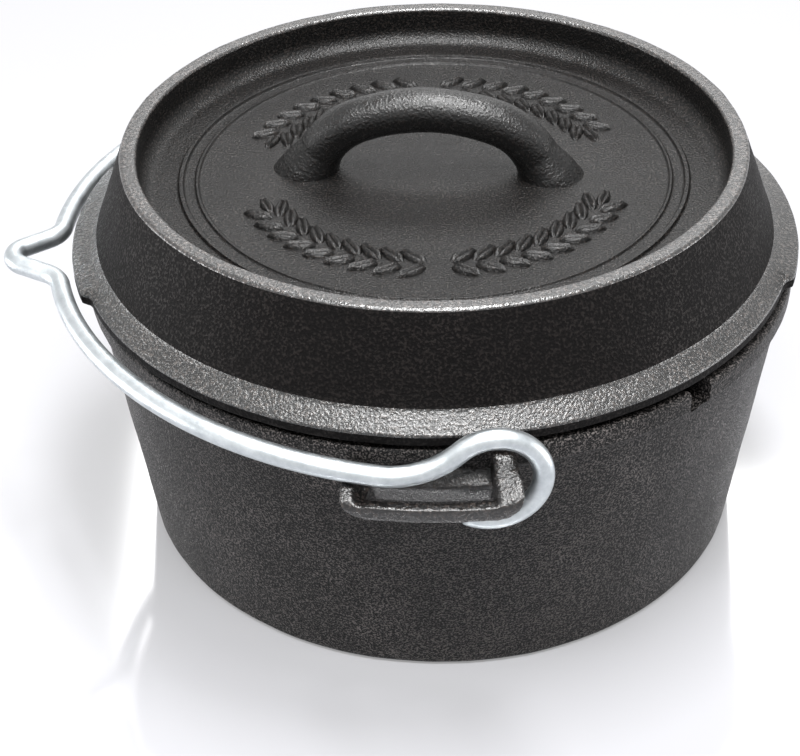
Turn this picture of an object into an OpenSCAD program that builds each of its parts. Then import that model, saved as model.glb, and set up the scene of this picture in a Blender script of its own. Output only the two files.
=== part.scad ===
// Small camp oven of seasoned cast iron: a flat-bottomed pot with an ear front and back, a loose
// flanged lid with a coal tray on top, a loop handle cast into the lid, and a wire carrying bail.
// Z is up, the origin is on the ground under the middle of the pot, and the ears point along Y.

/* [Pot] */
// Outer radius of the pot where its wall meets the ground
base_r = 71.6; // [58:0.2:90]
// Height of the pot's rim above the ground
pot_h = 68; // [56:1:90]
// Outward lean of the wall, in degrees
wall_lean = 7.3; // [4:0.1:10]
// Thickness of the wall
wall_t = 4.5; // [3.5:0.1:6]
// Thickness of the pot's floor
floor_t = 5; // [4:0.1:8]
// Rounding of the outer bottom edge
foot_round = 2; // [1:0.25:4]
// Rounding between floor and wall inside the pot
inside_round = 10; // [5:0.5:16]
// Height of the thicker band below the rim
band_h = 6.5; // [4:0.25:9]
// How far the band stands out from the wall
band_out = 0.8; // [0.4:0.1:1.2]
// Width of the notch in the rim for a thermometer lead
notch_w = 6; // [5:0.25:8]
// Depth of the notch below the rim
notch_depth = 7; // [6:0.25:10]
// Place of the notch round the rim, in degrees from +X
notch_angle = -47; // [-70:1:-30]

/* [Ears] */
// Distance of the hinge axis below the rim
hinge_drop = 4.4; // [3:0.1:6]
// Half the distance between the round ends of an ear
ear_half = 12.3; // [9:0.1:16]
// Radius of the round ends, which the hooks of the bail turn about
ear_end_r = 5.5; // [4.5:0.1:6]
// Thickness of the bar that closes the ear on its outside
bar_t = 2.9; // [2:0.1:5]
// Height of that bar
bar_h = 3.5; // [2.5:0.1:4.5]
// Rise of the end posts from the bar to the wall, per unit of length
post_slope = 0.58; // [0.4:0.02:0.7]
// Radius of the arched recess in the band above the ear
arch_r = 19.5; // [17:0.5:24]
// Height of the band that is left above the recess
arch_left = 2.6; // [1.5:0.1:4]

/* [Lid] */
// Height of the lid's top edge above the pot's rim
lid_h = 26.5; // [20:0.5:36]
// How far the lid's top edge lies inside the pot's outer radius
lid_inset = 10.3; // [6:0.1:14]
// Thickness of the lid's top edge
lid_edge_t = 3.9; // [3:0.1:5]
// Depth of the coal tray below the top edge
tray_depth = 8.8; // [6:0.1:12]
// Rounding between the tray's floor and its wall
tray_round = 3.5; // [2:0.25:5]
// Thickness of the tray's floor
lid_t = 4.5; // [3.5:0.1:6]
// How far the lid's flange reaches past the pot's outer radius
flange_out = 1; // [0.5:0.1:2]
// Height of the flange's edge
flange_t = 2.8; // [2:0.1:4]
// Gap between the flange's edge and the rim's outer edge
flange_lift = 1.1; // [0.6:0.1:2]
// Height of the sloping shoulder above the flange
shoulder_h = 3.4; // [2:0.1:6]
// Width of that shoulder
shoulder_w = 4; // [2:0.1:6]
// Width of the land that the lid rests on
seat_w = 3.2; // [2:0.1:4]
// Depth of the ring under the lid that centres it in the pot
spigot_h = 3; // [2:0.25:5]
// Thickness of that ring
spigot_t = 3.5; // [2.5:0.1:5]
// Gap between that ring and the pot
spigot_gap = 1.8; // [1.8:0.1:2.4]
// How far the loose lid lies off the middle of the pot, towards -X
lid_shift = 1.1; // [0:0.1:1.1]
// How far the two lifting tabs reach past the flange
tab_out = 1.8; // [1:0.1:3]
// Half of each tab's width, in degrees
tab_half = 20.7; // [12:0.1:30]
// Thickness of the tabs
tab_t = 3; // [2.5:0.1:5]
// Height of the tabs' underside above that of the flange
tab_lift = 0.4; // [0.2:0.1:1]
// How far the lid is turned from the line of the ears, in degrees
lid_turn = 2.7; // [-8:0.1:8]

/* [Lid handle] */
// Diameter of the loop's bar
grip_d = 10.4; // [8:0.1:13]
// Height of the bar's centre line above the tray's floor
grip_rise = 15; // [13:0.25:22]
// Radius of the loop's crown
crown_r = 43; // [36:1:52]
// Half of the crown's arc, in degrees
crown_half = 20; // [14:1:24]
// Radius of the loop's shoulders
bend_r = 18; // [14:0.5:22]
// Slope of the legs, in degrees
leg_slope = 60; // [50:1:70]
// Radius of the legs at the tray's floor
foot_r = 6.2; // [5:0.1:8]
// Radius of the anchors that are cast into the lid
anchor_r = 4; // [3:0.1:5]
// Depth of the anchors
anchor_depth = 2.5; // [1.5:0.1:3]
// Turn of the loop from the line of the tabs, in degrees
grip_turn = -5.5; // [-10:0.5:10]
// How far the loop sits off the middle of the tray, towards -X
grip_shift = 1.2; // [0:0.1:3]

/* [Bail] */
// Diameter of the wire
wire_d = 4.5; // [3.5:0.1:5.5]
// Gap between the wire and the tabs of the lid
bail_gap = 1.1; // [0.9:0.05:3]
// Radius of the hooks, at the middle of the wire
hook_r = 10; // [9.5:0.1:12]
// Length from the middle of a hook to the bail's arc
hook_lead = 20; // [18:0.5:24]
// Radius of the bend between hook and arc
hook_bend_r = 10; // [6:0.5:14]
// Height of the bail's arc above the middle of the hooks
leg_rise = 1.5; // [0.5:0.1:3]
// End of the hook's wire, in degrees below the arc
hook_end = 60; // [45:1:75]
// Gap between hook and bar
hook_gap = 1.55; // [1.2:0.05:3]
// Gap between the leg of the bail and the ear that it lies on
rest_gap = 0.35; // [0.3:0.05:0.6]
// How far the tip of the hanging kink stands out from the arc
kink_out = 10; // [7:0.1:14]
// Radius at the tip of the kink
kink_r = 4.5; // [4:0.1:6]
// Radius where the kink leaves the arc
kink_bend_r = 7; // [5:0.5:10]
// Half of the kink's angle, in degrees
kink_half = 33; // [28:1:40]

/* [Hidden] */
$fn = 96;

iron = "#2b2928";
handle_iron = "#262424";
zinc = "#c9ced2";
edge_break = 0.8;
anchor_gap = 0.05;
ledge_gap = 0.35;
ledge_h = 4;
past = 1;
wire_sides = 12;
grip_sides = 24;
corner_steps = 6;
crown_steps = 3;
shoulder_steps = 5;
kink_steps = 3;
kink_bend_steps = 4;
arc_steps = 9;
hook_bend_steps = 2;
lead_steps = 4;
hook_steps = 18;

// Pot
rim_r = base_r + pot_h * tan(wall_lean);
wall_across = wall_t / cos(wall_lean);
mouth_r = rim_r - wall_across;
band_r = rim_r + band_out;
hinge_z = pot_h - hinge_drop;

// Lid
flange_r = rim_r + flange_out;
flange_z = pot_h + flange_lift;
tab_r = flange_r + tab_out;
lid_top = pot_h + lid_h;
tray_z = lid_top - tray_depth;
lid_edge_r = rim_r - lid_inset;
spigot_r = mouth_r - spigot_gap;
hollow_r = spigot_r - spigot_t;
hollow_z = tray_z - lid_t;

// Lid handle, from its crown down to the floor of the tray
bend_x = crown_r * sin(crown_half);
bend_drop = crown_r * (1 - cos(crown_half));
leg_x = bend_x + bend_r * (sin(leg_slope) - sin(crown_half));
leg_drop = bend_drop + bend_r * (cos(crown_half) - cos(leg_slope));
leg_len = (grip_rise - leg_drop) / sin(leg_slope);
anchor_x = leg_x + leg_len * cos(leg_slope);

// Bail, in its own plane: X runs to the kink, Y along the hinge axis
bail_r = tab_r + lid_shift + bail_gap + wire_d / 2;
bend_centre_r = bail_r - hook_bend_r;
bend_turn = asin(hook_lead / bend_centre_r);
hook_y = bend_centre_r * cos(bend_turn) + hook_bend_r;
lead_r = (hook_lead ^ 2 + leg_rise ^ 2 - hook_r ^ 2) / (2 * (hook_r - leg_rise));
lead_turn = atan2(leg_rise + lead_r, hook_lead);
kink_x = bail_r + kink_out - kink_r;
kink_line = kink_x * sin(kink_half) + kink_r;
kink_bend_centre_r = bail_r + kink_bend_r;
kink_turn = 90 - kink_half - acos((kink_line + kink_bend_r) / kink_bend_centre_r);
kink_bend_x = kink_bend_centre_r * cos(kink_turn);
kink_bend_y = kink_bend_centre_r * sin(kink_turn);

// Ears, which the hooks of the bail turn about
ear_turn = asin(ear_half / hook_y);
bar_r = hook_y + wire_d / 2 + hook_gap;
ear_r = bar_r + bar_t;
ear_low = hinge_z - ear_end_r;
bar_top = ear_low + bar_h;
ledge_r = hook_y - wire_d / 2 - ledge_gap;
post_top = bar_top + (ear_r - bail_r) * post_slope;
rest_tilt = asin((post_top + wire_d / 2 + rest_gap - hinge_z - leg_rise) / (2 * ear_half));

// Points along an arc in a plane; skip leaves out as many points at its start
function arc(centre, r, from, to, steps, skip = 0) = [
    for (i = [skip:steps])
        let (a = from + (to - from) * i / steps) centre + r * [cos(a), sin(a)]
];

// Half section of a leaning cup from z0 to z1 with a rounded bottom corner; r0 is its radius at z0
module cup_section(r0, lean, z0, z1, corner) {
    corner_r = r0 + corner * tan(lean) - corner / cos(lean);
    polygon(concat(
        [[0, z0]],
        arc([corner_r, z0 + corner], corner, -90, -lean, corner_steps),
        [[r0 + (z1 - z0) * tan(lean), z1], [0, z1]]
    ));
}

// Part of a turned ring, half_turn degrees to either side of +X, with the child as its section
module sector(half_turn) {
    rotate([0, 0, -half_turn]) rotate_extrude(angle = 2 * half_turn) children();
}

function unit(v) = v / norm(v);

// Part of v that is square to the unit vector t, at unit length
function square_to(v, t) = unit(v - (v * t) * t);

// Round bar along a path with a radius at each point; side is square to the path at its start
module tube(path, radii, side, sides) {
    last = len(path) - 1;
    along = [for (i = [0:last]) unit(path[min(i + 1, last)] - path[max(i - 1, 0)])];
    across = [
        for (i = 0, v = side; i <= last; i = i + 1, v = i <= last ? square_to(v, along[i]) : v) v
    ];
    rings = [
        for (i = [0:last], j = [0:sides - 1])
            let (a = 360 * j / sides)
                path[i] + radii[i] * (cos(a) * across[i] + sin(a) * cross(along[i], across[i]))
    ];
    skin = [
        for (i = [0:last - 1], j = [0:sides - 1])
            let (k = (j + 1) % sides, low = i * sides, high = low + sides)
                each [[low + j, high + j, high + k], [low + j, high + k, low + k]]
    ];
    start = [for (j = [0:sides - 1]) j];
    end = [for (j = [sides - 1:-1:0]) last * sides + j];
    polyhedron(points = rings, faces = concat([start], skin, [end]));
}

// Section of the thicker band below the rim, with its edges broken
module band_section() {
    low = pot_h - band_h;
    low_r = base_r + low * tan(wall_lean);
    polygon([
        [mouth_r, low],
        [low_r, low],
        [band_r, low + edge_break * 2],
        [band_r, pot_h - edge_break],
        [band_r - edge_break, pot_h],
        [mouth_r, pot_h]
    ]);
}

// The band, with an arched recess above each ear
module band() {
    arch_z = pot_h - arch_left - arch_r;
    difference() {
        rotate_extrude() band_section();
        for (side = [-90, 90])
            rotate([0, 0, side]) translate([mouth_r - past, 0, arch_z])
                rotate([0, 90, 0]) cylinder(r = arch_r, h = wall_across + band_out + 2 * past);
    }
}

// Section that limits the end posts of an ear: level with the bar outside, rising to the rim
module post_section() {
    post_high = pot_h - edge_break;
    polygon([
        [mouth_r, ear_low - past],
        [ear_r, ear_low - past],
        [ear_r, bar_top],
        [ear_r - (post_high - bar_top) / post_slope, post_high],
        [mouth_r, post_high]
    ]);
}

// The two end posts: the outer halves of round bosses that lie on the hinge axis
module ear_posts() {
    intersection() {
        sector(2 * ear_turn) post_section();
        difference() {
            for (side = [-1, 1])
                rotate([0, 0, side * ear_turn]) translate([mouth_r, 0, hinge_z])
                    rotate([0, 90, 0]) cylinder(r = ear_end_r, h = ear_r - mouth_r + past);
            sector(ear_turn) translate([mouth_r - past, ear_low - past])
                square([ear_r - mouth_r + 3 * past, 2 * ear_end_r + 2 * past]);
        }
    }
}

// One ear, pointing along +X: two posts, the bar across them and a ledge on the wall
module ear() {
    ear_posts();
    sector(ear_turn) translate([bar_r, ear_low]) square([bar_t, bar_h]);
    sector(ear_turn) polygon([
        [mouth_r, ear_low - ledge_h],
        [rim_r, ear_low - ledge_h],
        [ledge_r, ear_low - edge_break],
        [ledge_r, ear_low],
        [mouth_r, ear_low + ledge_h]
    ]);
}

module pot() color(iron) {
    floor_r = base_r + floor_t * tan(wall_lean) - wall_across;
    difference() {
        union() {
            rotate_extrude() cup_section(base_r, wall_lean, 0, pot_h, foot_round);
            band();
            for (side = [-90, 90]) rotate([0, 0, side]) ear();
        }
        rotate_extrude() cup_section(floor_r, wall_lean, floor_t, pot_h + past, inside_round);
        rotate([0, 0, notch_angle]) translate([mouth_r - 2 * past, 0, pot_h - notch_depth + notch_w / 2]) {
            rotate([0, 90, 0]) cylinder(d = notch_w, h = wall_across + band_out + 4 * past);
            translate([0, -notch_w / 2, 0])
                cube([wall_across + band_out + 4 * past, notch_w, notch_depth]);
        }
    }
}

// Outer half section of the lid, from its centring ring up to its top edge
module lid_section() {
    shoulder_z = flange_z + flange_t + shoulder_h;
    polygon([
        [0, pot_h - spigot_h],
        [spigot_r, pot_h - spigot_h],
        [spigot_r, pot_h],
        [mouth_r + seat_w, pot_h],
        [mouth_r + seat_w + flange_lift, flange_z],
        [flange_r, flange_z],
        [flange_r, flange_z + flange_t],
        [flange_r - shoulder_w, shoulder_z],
        [lid_edge_r, lid_top],
        [0, lid_top]
    ]);
}

// The hollow under the lid
module hollow_section() {
    top_r = hollow_r - (hollow_z - pot_h + spigot_h) * tan(wall_lean) / 2;
    polygon([
        [0, pot_h - spigot_h - past],
        [hollow_r, pot_h - spigot_h - past],
        [hollow_r, pot_h - spigot_h],
        [top_r, hollow_z],
        [0, hollow_z]
    ]);
}

// Puts a piece of the lid where the loose lid lies on the pot
module on_lid() {
    translate([-lid_shift, 0, 0]) rotate([0, 0, lid_turn]) children();
}

// Puts a piece of the loop where the loop is cast into the lid
module on_tray() {
    translate([-grip_shift, 0, tray_z]) rotate([0, 0, grip_turn]) children();
}

module lid() color(iron) on_lid() {
    tray_r = lid_edge_r - lid_edge_t;
    difference() {
        union() {
            rotate_extrude() lid_section();
            for (side = [0, 180])
                rotate([0, 0, side]) sector(tab_half)
                    translate([flange_r - shoulder_w, flange_z + tab_lift]) square([shoulder_w + tab_out, tab_t]);
        }
        rotate_extrude() cup_section(tray_r, 0, tray_z, lid_top + past, tray_round);
        rotate_extrude() hollow_section();
        on_tray() for (side = [-1, 1])
            translate([side * anchor_x, 0, -anchor_depth])
                cylinder(r = anchor_r + anchor_gap, h = anchor_depth + past);
    }
}

// Centre line of half the loop, from the middle of its crown to below the tray's floor
function half_loop() = concat(
    arc([0, grip_rise - crown_r], crown_r, 90, 90 - crown_half, crown_steps),
    arc([bend_x - bend_r * sin(crown_half), grip_rise - bend_drop - bend_r * cos(crown_half)],
        bend_r, 90 - crown_half, 90 - leg_slope, shoulder_steps, 1),
    [[2 * anchor_x - leg_x, leg_drop - grip_rise]]
);

module lid_handle() color(handle_iron) on_lid() on_tray() {
    half = half_loop();
    last = len(half) - 1;
    path = concat(
        [for (i = [last:-1:1]) [-half[i].x, 0, half[i].y]],
        [for (p = half) [p.x, 0, p.y]]
    );
    end_r = 2 * foot_r - grip_d / 2;
    radii = [for (i = [0:2 * last]) i == 0 || i == 2 * last ? end_r : grip_d / 2];
    intersection() {
        tube(path, radii, [0, 1, 0], grip_sides);
        translate([-2 * anchor_x, -grip_d, 0]) cube([4 * anchor_x, 2 * grip_d, 2 * grip_rise]);
    }
    for (side = [-1, 1])
        translate([side * anchor_x, 0, -anchor_depth]) cylinder(r = anchor_r, h = anchor_depth + past);
}

// Half of the bail's arc seen from above, from the tip of its kink to the start of its hook
function half_arc() = concat(
    arc([kink_x, 0], kink_r, 0, 90 - kink_half, kink_steps),
    arc([kink_bend_x, kink_bend_y], kink_bend_r, 270 - kink_half, 180 + kink_turn, kink_bend_steps),
    arc([0, 0], bail_r, kink_turn, 90 - bend_turn, arc_steps, 1),
    arc(bend_centre_r * [sin(bend_turn), cos(bend_turn)], hook_bend_r, 90 - bend_turn, 90,
        hook_bend_steps, 1)
);

// A hook seen along the hinge axis, which passes through its middle
function hook() = concat(
    arc([hook_lead, leg_rise + lead_r], lead_r, 270, 180 + lead_turn, lead_steps, 1),
    arc([0, 0], hook_r, lead_turn, 360 - hook_end, hook_steps, 1)
);

module bail() color(zinc)
    translate([0, 0, hinge_z]) rotate([0, 0, 180 + ear_turn]) rotate([0, -rest_tilt, 0]) {
        half = concat(
            [for (p = half_arc()) [p.x, p.y, leg_rise]],
            [for (p = hook()) [p.x, hook_y, p.y]]
        );
        path = concat([for (i = [len(half) - 1:-1:1]) [half[i].x, -half[i].y, half[i].z]], half);
        tube(path, [for (p = path) wire_d / 2], [0, 1, 0], wire_sides);
    }

pot();
lid();
lid_handle();
bail();
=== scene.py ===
"""Looks of a small camp oven of seasoned cast iron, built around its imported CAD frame.

Lengths are in millimetres and turn to metres where a mesh, a texture, a lamp or the camera is made.
"""

import math

import bmesh
import bpy
import numpy as np
from mathutils import Matrix, Vector, noise


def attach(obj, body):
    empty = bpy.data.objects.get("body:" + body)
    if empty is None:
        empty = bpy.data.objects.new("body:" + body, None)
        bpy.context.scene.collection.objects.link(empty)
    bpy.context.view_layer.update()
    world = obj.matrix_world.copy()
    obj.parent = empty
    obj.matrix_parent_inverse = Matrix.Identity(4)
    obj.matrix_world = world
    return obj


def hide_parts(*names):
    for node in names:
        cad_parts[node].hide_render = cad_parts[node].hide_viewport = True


MM = 0.001
QUARTER = math.pi / 2

# Pot
BASE_R = 71.6
POT_H = 68
WALL_LEAN = math.radians(7.3)
WALL_T = 4.5
FLOOR_T = 5
FOOT_ROUND = 2
INSIDE_ROUND = 10
RIM_ROUND = 1.2
BAND_H = 6.5
BAND_OUT = 0.8
BAND_EASE = 1.6
BAND_LOW_ROUND = 1.5
BAND_ROUND = 1
NOTCH_W = 6
NOTCH_DEPTH = 7
NOTCH_ANGLE = math.radians(-47)
ARCH_R = 19.5
ARCH_DROP = 2.6
ARCH_EASE = (-0.5, 0.7)
WALL_ACROSS = WALL_T / math.cos(WALL_LEAN)
RIM_R = BASE_R + POT_H * math.tan(WALL_LEAN)
MOUTH_R = RIM_R - WALL_ACROSS
BAND_R = RIM_R + BAND_OUT
ARCH_Z = POT_H - ARCH_DROP - ARCH_R

# Lid; a tab grows from TAB_ROOT inside the flange's edge and fades over TAB_EASE at its ends
LID_H = 26.5
LID_T = 4.5
LID_EDGE_IN = 10.3
LID_EDGE_T = 3.9
LID_EDGE_ROUND = (1.1, 1)
TRAY_DEPTH = 8.8
TRAY_ROUND = 3.5
FLANGE_OUT = 1
FLANGE_GAP = 1.1
FLANGE_T = 2.8
FLANGE_ROUND = (0.8, 1)
SHOULDER_H = 3.4
SHOULDER_W = 4
SHOULDER_ROUND = 3
SEAT_W = 3.2
SEAT_ROUND = 0.3
SPIGOT_PLAY = 1.8
SPIGOT_T = 3.5
SPIGOT_H = 3
SPIGOT_ROUND = 0.8
SPIGOT_ROOT_ROUND = 0.4
HOLLOW_ROUND = 4
TAB_OUT = 1.8
TAB_RAISE = 0.4
TAB_HALF = math.radians(20.7)
TAB_EASE = (math.radians(-1.1), math.radians(0.2))
TAB_ROOT = (1.4, 0.4)
LID_SHIFT = 1.1
LID_TURN = math.radians(2.7)
LID_TOP = POT_H + LID_H
LID_EDGE_R = RIM_R - LID_EDGE_IN
TRAY_R = LID_EDGE_R - LID_EDGE_T
TRAY_Z = LID_TOP - TRAY_DEPTH
FLANGE_R = RIM_R + FLANGE_OUT
FLANGE_Z = POT_H + FLANGE_GAP
SHOULDER_Z = FLANGE_Z + FLANGE_T
SEAT_R = MOUTH_R + SEAT_W
SPIGOT_R = MOUTH_R - SPIGOT_PLAY

# Raised rings, as radius, width and height, and the wreath of leaves on the tray
RINGS = ((57, 1.1, 0.7), (53.4, 0.7, 0.5))
RING_SLOPE = 0.35
RING_ROUND = 0.3
SPRAY_R = 40
SPRAY_SPREAD = math.radians(64)
LEAF_PAIRS = 9
LEAF_LEAN = math.radians(38)
LEAF_OFF = 0.5
LEAF_SIZE = (8, 3.6, 0.9)
TIP_SIZE = (7, 3.2, 0.9)
TIP_TURN = 0.08

# Lid handle; the spare makes up for part of what its waves take away
GRIP_R = 5.2
GRIP_RISE = 15
GRIP_SPARE = 0.1
CROWN_R = 43
CROWN_HALF = math.radians(20)
BEND_R = 18
LEG_SLOPE = math.radians(60)
LEG_BELOW = 5
FOOT_R = 6.2
FOOT_SUNK = 1
FLARE = 0.5
FLARE_H = 3
GRIP_TURN = math.radians(-5.5)
GRIP_SHIFT = 1.2

# Bail; the trim keeps the round wire inside its solid, which has flat sides
WIRE_R = 2.25
WIRE_TRIM = 0.07
WIRE_CHAMFER = 0.35
HOOK_R = 10
HOOK_LEAD = 20
HOOK_BEND_R = 10
LEG_RISE = 1.5
HOOK_END = math.radians(60)
HOOK_GAP = 1.55
REST_GAP = 0.35
TAB_GAP = 1.1
KINK_OUT = 10
KINK_R = 4.5
KINK_BEND_R = 7
KINK_HALF = math.radians(33)
BAIL_R = FLANGE_R + TAB_OUT + LID_SHIFT + TAB_GAP + WIRE_R
BEND_CENTRE_R = BAIL_R - HOOK_BEND_R
BEND_TURN = math.asin(HOOK_LEAD / BEND_CENTRE_R)
HOOK_Y = BEND_CENTRE_R * math.cos(BEND_TURN) + HOOK_BEND_R

# Ears
HINGE_DROP = 4.4
EAR_HALF = 12.3
EAR_END_R = 5.5
EAR_VOXEL = 0.35
BAR_T = 2.9
BAR_H = 3.5
POST_SLOPE = 0.58
POST_ROUND = 0.8
LEDGE_H = 4
LEDGE_GAP = 0.35
LEDGE_CHAMFER = 1.5
LIP_LOW = 0.8
LIP_HIGH = 1.6
HINGE_Z = POT_H - HINGE_DROP
EAR_TURN = math.asin(EAR_HALF / HOOK_Y)
EAR_ROOT_R = (MOUTH_R + RIM_R) / 2
BAR_R = HOOK_Y + WIRE_R + HOOK_GAP
EAR_R = BAR_R + BAR_T
EAR_LOW = HINGE_Z - EAR_END_R
BAR_TOP = EAR_LOW + BAR_H
LEDGE_R = HOOK_Y - WIRE_R - LEDGE_GAP
POST_TOP = BAR_TOP + (EAR_R - BAIL_R) * POST_SLOPE
REST_TILT = math.asin((POST_TOP + WIRE_R + REST_GAP - HINGE_Z - LEG_RISE) / (2 * EAR_HALF))

# Waves in the skin of each casting, as pairs of length and depth
POT_WAVES = ((14, 0.3), (5, 0.12))
EAR_WAVES = ((3, 0.24),)
LID_WAVES = ((14, 0.3), (4, 0.12))
LOOP_WAVES = ((9, 0.45), (3, 0.1))

# Fineness of the meshes
SIDE_STEP = 2
ARC_STEP = math.radians(12)
POT_AROUND = 400
LID_AROUND = 420
LOOP_SIDES = 80
WIRE_SIDES = 28

# Camera, found from the round edges of the photographed lid and pot
SENSOR_W = 36
LENS = 84.82
CAMERA_AT = (7.85, -373.65, 298.1)
CAMERA_HEADING = math.radians(2.7)
CAMERA_DIP = math.radians(35.915)
CAMERA_ROLL = math.radians(-1.329)
CAMERA_NEAR = 10

# Studio
FLOOR_HALF = 4000
FLOOR_DROP = 0.2
FLOOR_GLOW = 0.29
ROOM_LIGHT = 0.2

ON_LID = Matrix.Translation((-LID_SHIFT * MM, 0, 0)) @ Matrix.Rotation(LID_TURN, 4, "Z")
ON_TRAY = (
    ON_LID
    @ Matrix.Translation((-GRIP_SHIFT * MM, 0, TRAY_Z * MM))
    @ Matrix.Rotation(GRIP_TURN, 4, "Z")
)
ON_HINGE = (
    Matrix.Translation((0, 0, HINGE_Z * MM))
    @ Matrix.Rotation(math.pi + EAR_TURN, 4, "Z")
    @ Matrix.Rotation(-REST_TILT, 4, "Y")
)


# Shapes


def smooth_step(low, high, x):
    """Rises smoothly from 0 at low to 1 at high."""
    t = np.clip((x - low) / (high - low), 0, 1)
    return t * t * (3 - 2 * t)


def arc(centre, r, start, end, steps, skip=0):
    """Points along an arc in a plane; skip leaves out as many points at its start."""
    turns = [start + (end - start) * i / steps for i in range(skip, steps + 1)]
    return [(centre[0] + r * math.cos(a), centre[1] + r * math.sin(a)) for a in turns]


def polar(r, angle, z):
    """Point at a radius, an angle about the Z axis and a height."""
    return r * math.cos(angle), r * math.sin(angle), z


def rounded(corners):
    """Outline through corners (r, z, rounding), with its long sides split into short ones."""
    points = [Vector(c[:2]) for c in corners]
    line = [points[0]]
    for before, corner, after, (_, _, radius) in zip(points, points[1:], points[2:], corners[1:]):
        back = (before - corner).normalized()
        on = (after - corner).normalized()
        half = back.angle(on) / 2
        centre = corner + (back + on).normalized() * radius / math.sin(half)
        start = corner + back * radius / math.tan(half) - centre
        end = corner + on * radius / math.tan(half) - centre
        turn = math.pi - 2 * half
        steps = max(2, math.ceil(turn / ARC_STEP))
        for i in range(steps + 1):
            share = turn * i / steps
            along = start * math.sin(turn - share) + end * math.sin(share)
            line.append(centre + along / math.sin(turn))
    line.append(points[-1])
    split = [line[0]]
    for a, b in zip(line, line[1:]):
        count = max(1, round((b - a).length / SIDE_STEP))
        split += [a.lerp(b, i / count) for i in range(1, count + 1)]
    return np.array(split)


def new_object(name, vertices, faces, place=Matrix.Identity(4)):
    """An object from points in millimetres, moved by place, with its faces turned outwards."""
    mesh = bpy.data.meshes.new(name)
    mesh.from_pydata(np.asarray(vertices, float) * MM, [], faces)
    shape = bmesh.new()
    shape.from_mesh(mesh)
    bmesh.ops.recalc_face_normals(shape, faces=shape.faces)
    shape.to_mesh(mesh)
    shape.free()
    mesh.transform(place)
    made = bpy.data.objects.new(name, mesh)
    bpy.context.scene.collection.objects.link(made)
    return made


def shade(thing, edge=math.radians(38)):
    """Shades a mesh smooth, apart from edges that are sharper than an angle."""
    thing.data.shade_smooth()
    thing.data.set_sharp_from_angle(angle=edge)


def lathe(name, outline, around, form, zone, place=Matrix.Identity(4)):
    """Turns an outline that starts and ends on the axis.

    form moves its points (r, z, angle), and zone gives the material's index at (r, z).
    """
    angles = np.linspace(0, 2 * math.pi, around, endpoint=False)
    r, a = np.meshgrid(outline[1:-1, 0], angles, indexing="ij")
    z = np.repeat(outline[1:-1, 1:], around, axis=1)
    r, z = form(r, z, a)
    rows = len(r)
    rings = np.stack([r * np.cos(a), r * np.sin(a), z], axis=-1).reshape(-1, 3)
    poles = [(0, 0, outline[0, 1]), (0, 0, outline[-1, 1])]
    first = rows * around
    last = first + 1
    faces = []
    for j in range(around):
        k = (j + 1) % around
        faces.append((first, k, j))
        for i in range(rows - 1):
            low, high = i * around, (i + 1) * around
            faces.append((low + j, low + k, high + k, high + j))
        faces.append((last, (rows - 1) * around + j, (rows - 1) * around + k))
    turned = new_object(name, np.vstack([rings, poles]), faces, place)
    middles = (outline[1:] + outline[:-1]) / 2
    zones = [zone(*middle) for middle in middles]
    turned.data.polygons.foreach_set("material_index", np.tile(zones, around))
    return turned


def sweep(name, path, radii, side, sides, place=Matrix.Identity(4)):
    """Round bar along a path with a radius at each point; side is square to the path's start."""
    path = np.asarray(path, float)
    along = np.gradient(path, axis=0)
    along /= np.linalg.norm(along, axis=1)[:, None]
    turns = np.linspace(0, 2 * math.pi, sides, endpoint=False)
    across = np.asarray(side, float)
    rings = []
    for point, ahead, radius in zip(path, along, radii):
        across = across - (across @ ahead) * ahead
        across /= np.linalg.norm(across)
        up = np.cross(ahead, across)
        ring = np.outer(np.cos(turns), across) + np.outer(np.sin(turns), up)
        rings.append(point + radius * ring)
    faces = [tuple(range(sides))]
    for i in range(len(path) - 1):
        low, high = i * sides, (i + 1) * sides
        for j in range(sides):
            k = (j + 1) % sides
            faces.append((low + j, low + k, high + k, high + j))
    faces.append(tuple(len(path) * sides - 1 - j for j in range(sides)))
    return new_object(name, np.vstack(rings), faces, place)


def waver(thing, waves):
    """Sinks the skin of a casting, nowhere below the ground, in waves of a length and a depth."""
    vertices = thing.data.vertices
    for length, depth in waves:
        points, normals = np.empty((2, 3 * len(vertices)), np.float32)
        vertices.foreach_get("co", points)
        vertices.foreach_get("normal", normals)
        points = points.reshape(-1, 3)
        heights = np.array([noise.noise(Vector(p) / (length * MM)) for p in points])
        points += normals.reshape(-1, 3) * (heights[:, None] - 1) / 2 * depth * MM
        points[:, 2] = np.maximum(points[:, 2], 0)
        vertices.foreach_set("co", points.ravel())
        thing.data.update()


def settle(thing):
    """Puts the result of the object's modifiers into its mesh."""
    whole = thing.evaluated_get(bpy.context.evaluated_depsgraph_get())
    mesh = bpy.data.meshes.new_from_object(whole)
    thing.modifiers.clear()
    thing.data = mesh


# Pot: body, notch and ears


def pot_form(r, z, a):
    """The band fades in an arch above each ear, which lies on the Y axis."""
    depth = ARCH_R - np.hypot(r * np.cos(a), z - ARCH_Z)
    wall = BASE_R + z * math.tan(WALL_LEAN)
    inside_arch = smooth_step(*ARCH_EASE, depth) * (r > wall)
    return r - inside_arch * (r - wall), z


def pot_zone(r, z):
    """0 for the sand-rough outside, 1 for the smoother inside."""
    slack, past = 0.01, 0.3
    mouth_at_z = MOUTH_R - (POT_H - z) * math.tan(WALL_LEAN)
    return int(z >= FLOOR_T - slack and r < mouth_at_z + past)


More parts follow.
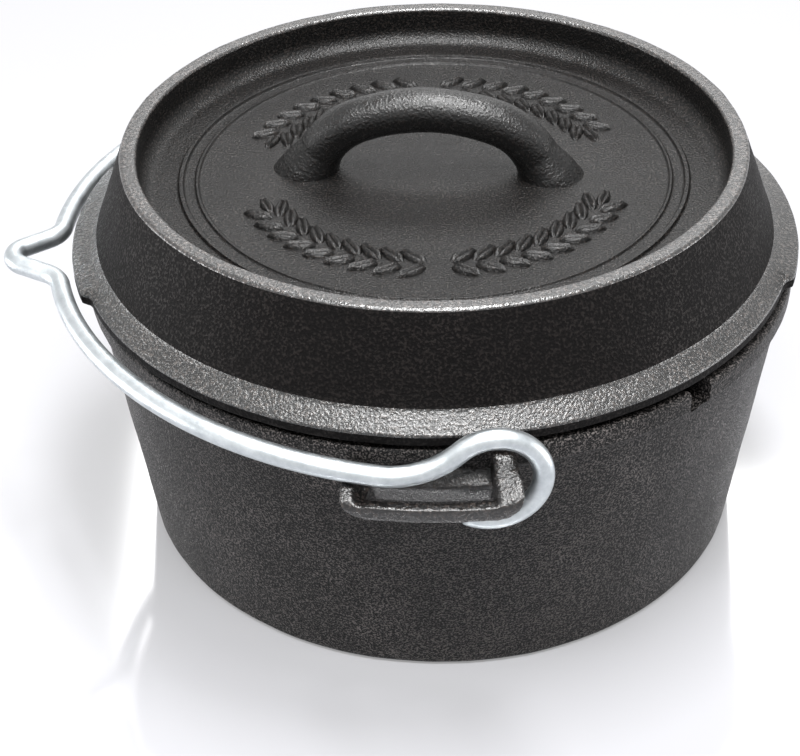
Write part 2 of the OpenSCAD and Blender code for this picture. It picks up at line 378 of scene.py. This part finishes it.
def notch_cutter():
    """A bar with a round lower side that lies through the wall where the notch is."""
    above, past = 2, 4
    half = NOTCH_W / 2
    slot = arc((0, POT_H - NOTCH_DEPTH + half), half, -math.pi, 0, 12)
    slot += [(half, POT_H + above), (-half, POT_H + above)]
    points = [(r, x, z) for r in (MOUTH_R - past, BAND_R + past) for x, z in slot]
    count = len(slot)
    faces = [tuple(range(count)), tuple(range(2 * count - 1, count - 1, -1))]
    faces += [(i, (i + 1) % count, count + (i + 1) % count, count + i) for i in range(count)]
    return new_object("notch_cutter", points, faces, Matrix.Rotation(NOTCH_ANGLE, 4, "Z"))


def make_pot():
    band_low = POT_H - BAND_H
    floor_r = BASE_R + FLOOR_T * math.tan(WALL_LEAN) - WALL_ACROSS
    outline = rounded(
        [
            (0, 0, 0),
            (BASE_R, 0, FOOT_ROUND),
            (BASE_R + band_low * math.tan(WALL_LEAN), band_low, BAND_LOW_ROUND),
            (BAND_R, band_low + BAND_EASE, BAND_ROUND),
            (BAND_R, POT_H, RIM_ROUND),
            (MOUTH_R, POT_H, RIM_ROUND),
            (floor_r, FLOOR_T, INSIDE_ROUND),
            (0, FLOOR_T, 0),
        ]
    )
    body = lathe("pot_body", outline, POT_AROUND, pot_form, pot_zone)
    waver(body, POT_WAVES)
    cutter = notch_cutter()
    cut = body.modifiers.new("notch", "BOOLEAN")
    cut.operation = "DIFFERENCE"
    cut.solver = "EXACT"
    cut.object = cutter
    settle(body)
    bpy.data.objects.remove(cutter)
    shade(body)
    return body


def block(shape, points):
    """Adds the convex solid round some points in millimetres to a bmesh."""
    made = [shape.verts.new(Vector(p) * MM) for p in points]
    hull = bmesh.ops.convex_hull(shape, input=made)
    spare = [v for v in hull["geom_interior"] + hull["geom_unused"] if v.is_valid]
    bmesh.ops.delete(shape, geom=list(set(spare)), context="VERTS")


def add_hook_post(shape):
    """The full post that a hook turns on: a round end that bulges out from the wall."""
    high = POT_H - POST_ROUND
    points = [(EAR_R, 0, BAR_TOP)]
    for x, end_z in arc((0, HINGE_Z), EAR_END_R, -QUARTER, QUARTER, 24):
        z = min(end_z, high)
        rise = max(z - BAR_TOP, 0) / (high - BAR_TOP)
        reach = EAR_R - rise**2 * (high - BAR_TOP) / POST_SLOPE
        points += [(r, x, z) for r in (EAR_ROOT_R, reach)]
    turn = Matrix.Rotation(EAR_TURN, 3, "Z")
    block(shape, [turn @ Vector(p) for p in points])


def add_rest_post(shape):
    """The thin post that the bail lies on: part of a ring, in short blocks."""
    top = math.asin((POST_TOP - HINGE_Z) / EAR_END_R)
    outside = arc((0, HINGE_Z), EAR_END_R, -QUARTER, top, 12)
    inside = arc((0, HINGE_Z), EAR_END_R - BAR_T, -QUARTER, top, 12)
    turn = Matrix.Rotation(-EAR_TURN, 3, "Z")
    for quad in zip(outside, outside[1:], inside, inside[1:]):
        points = []
        for x, z in quad:
            reach = EAR_R - max(z - BAR_TOP, 0) / POST_SLOPE
            points += [(r, -x, z) for r in (EAR_ROOT_R, reach)]
        block(shape, [turn @ Vector(p) for p in points])


def add_bar_and_ledge(shape):
    """The bar between the posts and the ledge on the wall behind it, in short blocks that overlap."""
    bar = [(BAR_R, EAR_LOW), (EAR_R, EAR_LOW), (EAR_R, BAR_TOP), (BAR_R, BAR_TOP)]
    ledge = [
        (EAR_ROOT_R, EAR_LOW - LEDGE_H),
        (RIM_R, EAR_LOW - LEDGE_H),
        (LEDGE_R - LEDGE_CHAMFER, EAR_LOW),
        (LEDGE_R, EAR_LOW + LIP_LOW),
        (LEDGE_R, EAR_LOW + LIP_HIGH),
        (EAR_ROOT_R, EAR_LOW + LEDGE_H + LEDGE_CHAMFER),
    ]
    blocks, overlap, past_posts = 8, 0.05, 1.02
    half_turn = EAR_TURN * past_posts
    for section in (bar, ledge):
        for i in range(blocks):
            ends = [half_turn * (2 * k / blocks - 1) for k in (i, i + 1 + overlap)]
            block(shape, [polar(r, a, z) for a in ends for r, z in section])


def make_ear(name, facing):
    """One ear, its blocks melted into one skin and softened as a casting is."""
    shape = bmesh.new()
    add_hook_post(shape)
    add_rest_post(shape)
    add_bar_and_ledge(shape)
    mesh = bpy.data.meshes.new(name)
    shape.to_mesh(mesh)
    shape.free()
    mesh.transform(Matrix.Rotation(facing, 4, "Z"))
    ear = bpy.data.objects.new(name, mesh)
    bpy.context.scene.collection.objects.link(ear)
    joined = ear.modifiers.new("joined", "REMESH")
    joined.mode = "VOXEL"
    joined.voxel_size = EAR_VOXEL * MM
    soft = ear.modifiers.new("soft", "SMOOTH")
    soft.factor = 0.5
    soft.iterations = 16
    settle(ear)
    waver(ear, EAR_WAVES)
    ear.data.shade_smooth()
    return ear


# Lid: body, wreath and loop


def lid_form(r, z, a):
    """The flange reaches further out at the two lifting tabs, which lie on the X axis."""
    off = np.abs((a + QUARTER) % math.pi - QUARTER)
    tab = 1 - smooth_step(TAB_HALF + TAB_EASE[0], TAB_HALF + TAB_EASE[1], off)
    edge = smooth_step(FLANGE_R - TAB_ROOT[0], FLANGE_R - TAB_ROOT[1], r) * tab
    return r + TAB_OUT * edge, z + TAB_RAISE * edge


def lid_zone(r, z):
    """0 for the outer wall and the hollow, 1 for the shoulder, 2 for the tray, 3 for its edge."""
    lap, lap_above = 0.6, 0.4
    edge_h, edge_in, slack = 1, 0.3, 0.1
    on_shoulder = SHOULDER_Z - lap < z < SHOULDER_Z + SHOULDER_H + lap_above
    if r > FLANGE_R - SHOULDER_W - lap and on_shoulder:
        return 1
    if z > LID_TOP - edge_h:
        return 3
    return 2 if r < LID_EDGE_R - edge_in and z > TRAY_Z - slack else 0


def ring_relief(r, width, height):
    """Corners of a raised ring on the floor of the tray, from outside to inside."""
    half = width / 2
    return [
        (r + half + RING_SLOPE, TRAY_Z, RING_ROUND),
        (r + half, TRAY_Z + height, RING_ROUND),
        (r - half, TRAY_Z + height, RING_ROUND),
        (r - half - RING_SLOPE, TRAY_Z, RING_ROUND),
    ]


def make_lid():
    hollow_r = SPIGOT_R - SPIGOT_T
    hollow_z = TRAY_Z - LID_T
    low = POT_H - SPIGOT_H
    top_r = hollow_r - (hollow_z - low) * math.tan(WALL_LEAN) / 2
    outline = rounded(
        [
            (0, hollow_z, 0),
            (top_r, hollow_z, HOLLOW_ROUND),
            (hollow_r, low, SPIGOT_ROUND),
            (SPIGOT_R, low, SPIGOT_ROUND),
            (SPIGOT_R, POT_H, SPIGOT_ROOT_ROUND),
            (SEAT_R, POT_H, SEAT_ROUND),
            (SEAT_R + FLANGE_GAP, FLANGE_Z, SEAT_ROUND),
            (FLANGE_R, FLANGE_Z, FLANGE_ROUND[0]),
            (FLANGE_R, SHOULDER_Z, FLANGE_ROUND[1]),
            (FLANGE_R - SHOULDER_W, SHOULDER_Z + SHOULDER_H, SHOULDER_ROUND),
            (LID_EDGE_R, LID_TOP, LID_EDGE_ROUND[0]),
            (TRAY_R, LID_TOP, LID_EDGE_ROUND[1]),
            (TRAY_R, TRAY_Z, TRAY_ROUND),
            *[corner for ring in RINGS for corner in ring_relief(*ring)],
            (0, TRAY_Z, 0),
        ]
    )
    body = lathe("lid_body", outline, LID_AROUND, lid_form, lid_zone, ON_LID)
    waver(body, LID_WAVES)
    shade(body)
    return body


def leaf(vertices, faces, root, heading, length, width, height):
    """Adds one raised pointed leaf with a crease along its middle, sunk a little into the tray."""
    rows, columns, sunk = 10, 8, 0.6
    fullness, least, end_slope = 0.8, 0.05, 6
    crease_depth, crease_w = 0.45, 0.35
    ahead = np.array([math.cos(heading), math.sin(heading)])
    beside = np.array([-ahead[1], ahead[0]])
    base = len(vertices)
    for i in range(rows + 1):
        share = i / rows
        half = width / 2 * math.sin(math.pi * share**fullness) ** fullness + least
        for j in range(columns + 1):
            off = 2 * j / columns - 1
            crown = (1 - off**4) * min(1, end_slope * share, end_slope * (1 - share))
            crease = crease_depth * math.exp(-((off * half / crease_w) ** 2))
            flat = root + ahead * length * share + beside * half * off
            up = -sunk + (height + sunk) * crown * (1 - crease)
            vertices.append((flat[0], flat[1], TRAY_Z + up))
    wide = columns + 1
    for i in range(rows):
        for j in range(columns):
            low = base + i * wide + j
            faces.append((low, low + 1, low + 1 + wide, low + wide))
    faces.append(
        tuple(base + j for j in range(columns, -1, -1))
        + tuple(base + i * wide for i in range(1, rows + 1))
        + tuple(base + rows * wide + j for j in range(1, columns + 1))
        + tuple(base + i * wide + columns for i in range(rows - 1, 0, -1))
    )


def make_wreath():
    """A plain wreath of leaves in two sprays, clear of the loop's feet."""
    vertices, faces = [], []
    for middle in (-QUARTER, QUARTER):
        for way in (-1, 1):
            for i in range(LEAF_PAIRS):
                angle = middle + way * SPRAY_SPREAD * (i + 0.5) / LEAF_PAIRS
                for lean in (-1, 1):
                    root = np.array(polar(SPRAY_R + LEAF_OFF * lean, angle, 0)[:2])
                    heading = angle + way * QUARTER - way * lean * LEAF_LEAN
                    leaf(vertices, faces, root, heading, *LEAF_SIZE)
            tip = np.array(polar(SPRAY_R, middle + way * SPRAY_SPREAD, 0)[:2])
            heading = middle + way * (SPRAY_SPREAD + QUARTER + TIP_TURN)
            leaf(vertices, faces, tip, heading, *TIP_SIZE)
    wreath = new_object("lid_wreath", vertices, faces, ON_LID)
    shade(wreath, edge=math.radians(60))
    return wreath


def half_loop():
    """Half of the loop's middle line, from the top of its crown to below the tray's floor."""
    bend_x = CROWN_R * math.sin(CROWN_HALF)
    bend_drop = CROWN_R * (1 - math.cos(CROWN_HALF))
    centre = (
        bend_x - BEND_R * math.sin(CROWN_HALF),
        GRIP_RISE - bend_drop - BEND_R * math.cos(CROWN_HALF),
    )
    crown = arc((0, GRIP_RISE - CROWN_R), CROWN_R, QUARTER, QUARTER - CROWN_HALF, 32)
    bend = arc(centre, BEND_R, QUARTER - CROWN_HALF, QUARTER - LEG_SLOPE, 28, 1)
    x, z = bend[-1]
    length = (z + LEG_BELOW) / math.sin(LEG_SLOPE)
    steps = 20
    downs = [length * i / steps for i in range(1, steps + 1)]
    leg = [(x + d * math.cos(LEG_SLOPE), z - d * math.sin(LEG_SLOPE)) for d in downs]
    return crown + bend + leg, z


def make_loop():
    """The loop with feet that grow and flare towards the tray, cut off a little below its floor."""
    half, leg_top = half_loop()
    line = [(-x, 0, z) for x, z in reversed(half[1:])] + [(x, 0, z) for x, z in half]
    radii = [
        GRIP_R
        + GRIP_SPARE
        + (FOOT_R - GRIP_R) * max(0, 1 - z / leg_top)
        + FLARE * math.exp(-max(0, z) / FLARE_H)
        for _, _, z in line
    ]
    loop = sweep("loop_handle", line, radii, (0, 1, 0), LOOP_SIDES, ON_TRAY)
    waver(loop, LOOP_WAVES)
    for vertex in loop.data.vertices:
        vertex.co.z = max(vertex.co.z, (TRAY_Z - FOOT_SUNK) * MM)
    loop.data.shade_smooth()
    return loop


# Bail


def half_arc():
    """Half of the bail's arc seen from above, from the tip of its kink to the start of its hook."""
    kink_x = BAIL_R + KINK_OUT - KINK_R
    kink_line = kink_x * math.sin(KINK_HALF) + KINK_R
    bend_r = BAIL_R + KINK_BEND_R
    turn = QUARTER - KINK_HALF - math.acos((kink_line + KINK_BEND_R) / bend_r)
    bend_centre = (bend_r * math.cos(turn), bend_r * math.sin(turn))
    lead_centre = (BEND_CENTRE_R * math.sin(BEND_TURN), BEND_CENTRE_R * math.cos(BEND_TURN))
    tip = arc((kink_x, 0), KINK_R, 0, QUARTER - KINK_HALF, 10)
    bend = arc(bend_centre, KINK_BEND_R, 3 * QUARTER - KINK_HALF, math.pi + turn, 12)
    bow = arc((0, 0), BAIL_R, turn, QUARTER - BEND_TURN, 60, 1)
    lead = arc(lead_centre, HOOK_BEND_R, QUARTER - BEND_TURN, QUARTER, 8, 1)
    return tip + bend + bow + lead


def hook():
    """A hook seen along the hinge axis, which passes through its middle."""
    lead_r = (HOOK_LEAD**2 + LEG_RISE**2 - HOOK_R**2) / (2 * (HOOK_R - LEG_RISE))
    turn = math.atan2(LEG_RISE + lead_r, HOOK_LEAD)
    lead = arc((HOOK_LEAD, LEG_RISE + lead_r), lead_r, 3 * QUARTER, math.pi + turn, 18, 1)
    return lead + arc((0, 0), HOOK_R, turn, 2 * math.pi - HOOK_END, 60, 1)


def make_bail():
    """The wire from hook to hook, with chamfered ends."""
    half = [(x, y, LEG_RISE) for x, y in half_arc()] + [(x, HOOK_Y, z) for x, z in hook()]
    path = np.array([(x, -y, z) for x, y, z in reversed(half[1:])] + half)
    first = path[1] - path[0]
    last = path[-2] - path[-1]
    near_start = path[0] + first / np.linalg.norm(first) * WIRE_CHAMFER
    near_end = path[-1] + last / np.linalg.norm(last) * WIRE_CHAMFER
    path = np.vstack([path[0], near_start, path[1:-1], near_end, path[-1]])
    radii = np.full(len(path), WIRE_R - WIRE_TRIM)
    radii[[0, -1]] -= WIRE_CHAMFER
    bail = sweep("bail_wire", path, radii, (0, 1, 0), WIRE_SIDES, ON_HINGE)
    shade(bail, edge=math.radians(40))
    return bail


# Materials

# Places of the colour sockets on a Mix node
MIX_A, MIX_B, MIX_OUT = 6, 7, 2


def linear(code):
    """Linear colour with alpha from an sRGB hex value."""
    parts = [int(code[i : i + 2], 16) / 255 for i in (1, 3, 5)]
    return (*[c / 12.92 if c <= 0.04045 else ((c + 0.055) / 1.055) ** 2.4 for c in parts], 1)


def per(size):
    """Scale of a texture whose features are about that many millimetres across."""
    return 1 / (size * MM)


def add(tree, kind, sockets=(), **settings):
    """Adds a node, sets its properties, and fills or links its sockets."""
    made = tree.nodes.new("ShaderNode" + kind)
    for key, value in settings.items():
        setattr(made, key, value)
    for key, value in dict(sockets).items():
        if isinstance(value, bpy.types.NodeSocket):
            tree.links.new(value, made.inputs[key])
        else:
            made.inputs[key].default_value = value
    return made


def new_material(name):
    material = bpy.data.materials.new(name)
    material.use_nodes = True
    tree = material.node_tree
    return material, tree, tree.nodes["Principled BSDF"]


def seasoned_iron(name, dark, worn_and_glint, grain, depth, gloss, dull, shine, oil=0):
    """Iron cast in sand and baked with oil: a near-black skin, satin and lighter on the tops of its
    grain, where the lighter colour is partly wear and partly painted glints.

    grain and depth are the size of the sand's print and its height in millimetres. Moulding sand
    is about 0.25 mm, too fine to show, so the print is drawn two to three times as coarse. gloss
    and dull are the roughness on the tops and in the pits, shine is the specular level of the baked
    skin, and oil is the share of a fresh coat on it.
    """
    patch_size = 17
    material, tree, shader = new_material(name)
    place = add(tree, "TexCoord").outputs["Object"]
    sand = add(
        tree, "TexNoise", {"Vector": place, "Scale": per(grain), "Detail": 3, "Roughness": 0.5}
    ).outputs["Fac"]
    patches = add(
        tree, "TexNoise", {"Vector": place, "Scale": per(patch_size), "Detail": 5, "Roughness": 0.6}
    ).outputs["Fac"]
    tops = add(
        tree,
        "MapRange",
        {"Value": sand, "From Min": 0.47, "From Max": 0.66},
        interpolation_type="SMOOTHSTEP",
    ).outputs["Result"]
    wear = add(
        tree, "MapRange", {"Value": patches, "From Min": 0.3, "From Max": 0.7, "To Min": 0.45}
    ).outputs["Result"]
    # The grain tops get a lighter colour: partly wear, partly painted glints that stand in for light
    # caught on the grain
    glinting_worn_tops = add(tree, "Math", {0: tops, 1: wear}, operation="MULTIPLY").outputs[0]
    colour = add(
        tree,
        "Mix",
        {0: glinting_worn_tops, MIX_A: linear(dark), MIX_B: linear(worn_and_glint)},
        data_type="RGBA",
    ).outputs[MIX_OUT]
    rough = add(
        tree, "MapRange", {"Value": glinting_worn_tops, "To Min": dull, "To Max": gloss}
    ).outputs["Result"]
    bump = add(
        tree, "Bump", {"Height": sand, "Distance": depth * MM, "Strength": 1}
    ).outputs["Normal"]
    shader.inputs["Specular IOR Level"].default_value = shine
    shader.inputs["Coat Weight"].default_value = oil
    shader.inputs["Coat Roughness"].default_value = gloss
    tree.links.new(bump, shader.inputs["Coat Normal"])
    tree.links.new(colour, shader.inputs["Base Color"])
    tree.links.new(rough, shader.inputs["Roughness"])
    tree.links.new(bump, shader.inputs["Normal"])
    return material


def galvanised_wire():
    """Drawn steel wire dipped in zinc: pale blue-grey metal, softly mottled, with a faint ripple."""
    spangle_size, ripple_size, ripple_h = 4, 0.8, 0.05
    material, tree, shader = new_material("galvanised_steel_wire")
    place = add(tree, "TexCoord").outputs["Object"]
    spangle = add(
        tree, "TexNoise", {"Vector": place, "Scale": per(spangle_size), "Detail": 5, "Roughness": 0.7}
    ).outputs["Fac"]
    ripple = add(
        tree, "TexNoise", {"Vector": place, "Scale": per(ripple_size), "Detail": 3}
    ).outputs["Fac"]
    colour = add(
        tree,
        "Mix",
        {0: spangle, MIX_A: linear("#8d959a"), MIX_B: linear("#dbdfe1")},
        data_type="RGBA",
    ).outputs[MIX_OUT]
    rough = add(
        tree, "MapRange", {"Value": spangle, "To Min": 0.32, "To Max": 0.5}
    ).outputs["Result"]
    bump = add(
        tree, "Bump", {"Height": ripple, "Distance": ripple_h * MM, "Strength": 0.6}
    ).outputs["Normal"]
    shader.inputs["Metallic"].default_value = 1
    tree.links.new(colour, shader.inputs["Base Color"])
    tree.links.new(rough, shader.inputs["Roughness"])
    tree.links.new(bump, shader.inputs["Normal"])
    return material


def seen(tree):
    """1 for what the camera sees directly, in a mirror or through glass, and 0 for other light."""
    path = add(tree, "LightPath").outputs
    straight = add(
        tree, "Math", {0: path["Is Camera Ray"], 1: path["Is Glossy Ray"]}, operation="MAXIMUM"
    ).outputs[0]
    return add(
        tree, "Math", {0: straight, 1: path["Is Transmission Ray"]}, operation="MAXIMUM"
    ).outputs[0]


def table_top():
    """Pale lacquered glass: white to the eye, with a weak mirror image of what stands on it.

    Its lacquer is a mid grey. The strong lamps lift it most of the way to white, and a glow that
    only the eye and mirror images meet does the rest. Its IOR is above the 1.5 of glass, for a
    mirror image about as strong as the photographed one.
    """
    material, tree, shader = new_material("white_lacquered_glass")
    shader.inputs["Base Color"].default_value = linear("#8c8c90")
    shader.inputs["IOR"].default_value = 2.1
    shader.inputs["Roughness"].default_value = 0.09
    glow = add(tree, "Math", {0: seen(tree), 1: FLOOR_GLOW}, operation="MULTIPLY").outputs[0]
    tree.links.new(glow, shader.inputs["Emission Strength"])
    shader.inputs["Emission Color"].default_value = linear("#ffffff")
    return material


# Stage: camera, lamps, floor and the studio around them


def make_camera():
    data = bpy.data.cameras.new("camera")
    data.sensor_fit = "HORIZONTAL"
    data.sensor_width = SENSOR_W
    data.lens = LENS
    data.clip_start = CAMERA_NEAR * MM
    camera = bpy.data.objects.new("camera", data)
    bpy.context.scene.collection.objects.link(camera)
    level = Vector((-math.sin(CAMERA_HEADING), math.cos(CAMERA_HEADING), 0))
    ahead = level * math.cos(CAMERA_DIP) - Vector((0, 0, math.sin(CAMERA_DIP)))
    side = ahead.cross(Vector((0, 0, 1))).normalized()
    upright = side.cross(ahead)
    right = side * math.cos(CAMERA_ROLL) + upright * math.sin(CAMERA_ROLL)
    up = upright * math.cos(CAMERA_ROLL) - side * math.sin(CAMERA_ROLL)
    turn = Matrix((right, up, -ahead)).transposed().to_4x4()
    camera.matrix_world = Matrix.Translation(Vector(CAMERA_AT) * MM) @ turn
    bpy.context.scene.camera = camera


def softbox(name, spot, aim, size, power):
    """A large soft lamp at a spot, turned to an aim, with a width and height, and a power in watts."""
    data = bpy.data.lights.new(name, "AREA")
    data.shape = "RECTANGLE"
    data.size = size[0] * MM
    data.size_y = size[1] * MM
    data.energy = power
    lamp = bpy.data.objects.new(name, data)
    lamp.location = Vector(spot) * MM
    lamp.rotation_euler = (Vector(aim) - Vector(spot)).to_track_quat("-Z", "Y").to_euler()
    bpy.context.scene.collection.objects.link(lamp)


def make_studio():
    """White studio: a white room to the eye, which sheds only a weak light on what stands in it.

    The lamps are stronger than a plain level, for contrast on black iron. By their powers, a white
    matt face would come out at about 3.5 times white on the tray and 0.8 on the pot's wall, so the
    iron and the zinc are written darker than they would be for plain light.
    """
    world = bpy.data.worlds.new("studio")
    world.use_nodes = True
    tree = world.node_tree
    back = tree.nodes["Background"]
    strength = add(tree, "MapRange", {"Value": seen(tree), "To Min": ROOM_LIGHT, "To Max": 1})
    tree.links.new(strength.outputs["Result"], back.inputs["Strength"])
    back.inputs["Color"].default_value = linear("#ffffff")
    bpy.context.scene.world = world

    signs = ((-1, -1), (1, -1), (1, 1), (-1, 1))
    corners = [(x * FLOOR_HALF, y * FLOOR_HALF, -FLOOR_DROP) for x, y in signs]
    floor = new_object("floor", corners, [(0, 1, 2, 3)])
    floor.data.materials.append(table_top())

    softbox("lamp_front", (0, -450, 820), (0, -80, 70), (800, 120), 12)
    softbox("lamp_top", (50, 20, 850), (0, 0, 90), (360, 140), 11)
    softbox("lamp_left", (-800, -50, 80), (0, 0, 30), (400, 140), 3)
    softbox("lamp_right", (800, -50, 80), (0, 0, 30), (400, 140), 2.2)
    softbox("lamp_back", (100, 850, 800), (0, 0, 90), (800, 200), 3)


def dress(piece, body, slot, materials, *nodes):
    """Gives a piece its materials, its body and the nodes it stands for, whose CAD parts it hides;
    slot is not used.
    """
    for material in materials:
        piece.data.materials.append(material)
    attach(piece, body)
    if nodes:
        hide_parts(*nodes)


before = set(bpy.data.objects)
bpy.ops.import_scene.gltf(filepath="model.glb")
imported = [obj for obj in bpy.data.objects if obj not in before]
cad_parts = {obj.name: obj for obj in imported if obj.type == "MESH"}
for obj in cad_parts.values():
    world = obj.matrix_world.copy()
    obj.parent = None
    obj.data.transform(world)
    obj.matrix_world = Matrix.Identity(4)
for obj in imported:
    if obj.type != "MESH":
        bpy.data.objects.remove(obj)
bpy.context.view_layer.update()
bpy.context.scene.view_settings.view_transform = "Standard"

# The pot's outside, rough from the sand: dull black with many small lighter grains, partly wear and
# partly painted glints
pot_iron = seasoned_iron(
    "sand_cast_iron",
    dark="#030303",
    worn_and_glint="#645f5d",
    grain=0.42,
    depth=0.38,
    gloss=0.18,
    dull=0.44,
    shine=0.14,
)
# The pot's inside, smoother, with its oil baked in: an even dark satin
inner_iron = seasoned_iron(
    "oiled_cast_iron",
    dark="#0d0c0b",
    worn_and_glint="#221e1c",
    grain=0.8,
    depth=0.06,
    gloss=0.3,
    dull=0.45,
    shine=0.5,
)
# The lid's wall and hollow, baked dry: nearly black, and the dullest skin
lid_iron = seasoned_iron(
    "seasoned_cast_iron",
    dark="#050404",
    worn_and_glint="#1f1c1b",
    grain=0.6,
    depth=0.22,
    gloss=0.4,
    dull=0.62,
    shine=0.08,
)
# The flange's shoulder, coarse and oiled: its grains glint in a bright band
flange_iron = seasoned_iron(
    "coarse_cast_iron",
    dark="#040404",
    worn_and_glint="#4a4542",
    grain=0.62,
    depth=0.34,
    gloss=0.07,
    dull=0.3,
    shine=0.6,
    oil=0.4,
)
# The ears, rounded and polished by the hooks: satin with lit edges
ear_iron = seasoned_iron(
    "rounded_cast_iron",
    dark="#060505",
    worn_and_glint="#3c3633",
    grain=0.6,
    depth=0.22,
    gloss=0.12,
    dull=0.36,
    shine=0.45,
    oil=0.35,
)
# The tray and its leaves: an even grain, shallower than the pot's, under a thin film of oil
tray_iron = seasoned_iron(
    "fine_cast_iron",
    dark="#040404",
    worn_and_glint="#2a2624",
    grain=0.5,
    depth=0.22,
    gloss=0.12,
    dull=0.4,
    shine=0.22,
    oil=0.06,
)
# The tray's edge, rubbed bare in places: a light line round the tray, partly wear and partly a painted
# highlight, with small sparks
edge_iron = seasoned_iron(
    "rubbed_and_highlit_cast_iron",
    dark="#060505",
    worn_and_glint="#4a4441",
    grain=0.7,
    depth=0.24,
    gloss=0.14,
    dull=0.34,
    shine=0.75,
    oil=0.45,
)
# The loop, cast smoother than the pot: black, with a broken gleam along its back
loop_iron = seasoned_iron(
    "smooth_cast_iron",
    dark="#030303",
    worn_and_glint="#1c1918",
    grain=0.62,
    depth=0.24,
    gloss=0.12,
    dull=0.4,
    shine=0.35,
    oil=0.2,
)
zinc = galvanised_wire()

dress(make_pot(), "pot", "pot_iron", [pot_iron, inner_iron], "pot")
dress(make_ear("ear_front", -QUARTER), "pot", "pot_iron", [ear_iron])
dress(make_ear("ear_back", QUARTER), "pot", "pot_iron", [ear_iron])
dress(make_lid(), "lid", "lid_iron", [lid_iron, flange_iron, tray_iron, edge_iron], "lid")
dress(make_wreath(), "lid", "lid_iron", [tray_iron])
dress(make_loop(), "lid", "loop_iron", [loop_iron], "lid_handle")
dress(make_bail(), "bail", "bail_zinc", [zinc], "bail")

make_camera()
make_studio()
